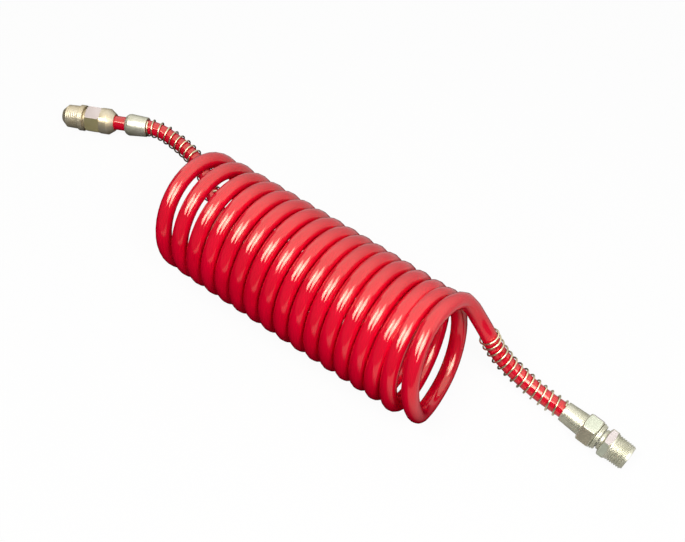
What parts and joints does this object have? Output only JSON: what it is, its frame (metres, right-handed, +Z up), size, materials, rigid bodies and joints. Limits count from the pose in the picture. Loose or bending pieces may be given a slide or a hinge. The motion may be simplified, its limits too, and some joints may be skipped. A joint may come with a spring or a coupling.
{
  "type": "coiled air brake hose",
  "caption": "Coiled nylon air hose with a fixed pipe-thread fitting at one end, a swivel fitting at the other, and a wire spring guard on each lead.",
  "frame": {"origin": "centre of the bounding box, on the surface that the hose lies on", "axes": "+X along the coil's axis from the fixed end A to the swivel end B, +Z up, +Y towards the side that both leads leave from"},
  "size_m": [0.5781, 0.126, 0.1016],
  "materials": {
    "red_nylon": "smooth glossy extruded nylon tube",
    "plated_steel": "turned steel with yellow zinc plating",
    "spring_wire": "plated round spring wire",
    "brass": "plain turned brass",
    "seal_rubber": "smooth black rubber",
    "white_acetal": "plain white acetal"
  },
  "bodies": {
    "hose_and_end_a": {"hose_coil": "red_nylon", "hose_lead_a": "red_nylon", "npt_body_a": "plated_steel", "nut_a": "plated_steel", "ferrule_a": "brass", "tube_insert_a": "brass", "spring_guard_a": "spring_wire"},
    "sliding_collar": {"collar_a": "plated_steel"},
    "end_b": {"hose_lead_b": "red_nylon", "nut_b": "plated_steel", "swivel_body_b": "plated_steel", "ferrule_b": "brass", "tube_insert_b": "brass", "collar_b": "plated_steel", "spring_guard_b": "spring_wire"},
    "swivel_stem": {"swivel_stem_b": "plated_steel", "o_ring_b": "seal_rubber", "retaining_wire_b": "spring_wire", "thrust_washer_b": "white_acetal"}
  },
  "joints": [
    {"name": "coil_stretch", "type": "slide", "parent": "hose_and_end_a", "child": "end_b", "axis": [1, 0, 0], "range_m": [0, 1], "stiffness_N_per_m": 60, "deforming": ["hose_coil"]},
    {"name": "collar_slide", "type": "slide", "parent": "hose_and_end_a", "child": "sliding_collar", "axis": [-0.9026, -0.4305, 0], "range_m": [0, 0.0107], "deforming": ["spring_guard_a"]},
    {"name": "swivel", "type": "hinge", "parent": "end_b", "child": "swivel_stem", "pos_m": [0.2881, 0.0217, 0.0111], "axis": [0.9951, -0.0993, 0], "continuous": true}
  ]
}
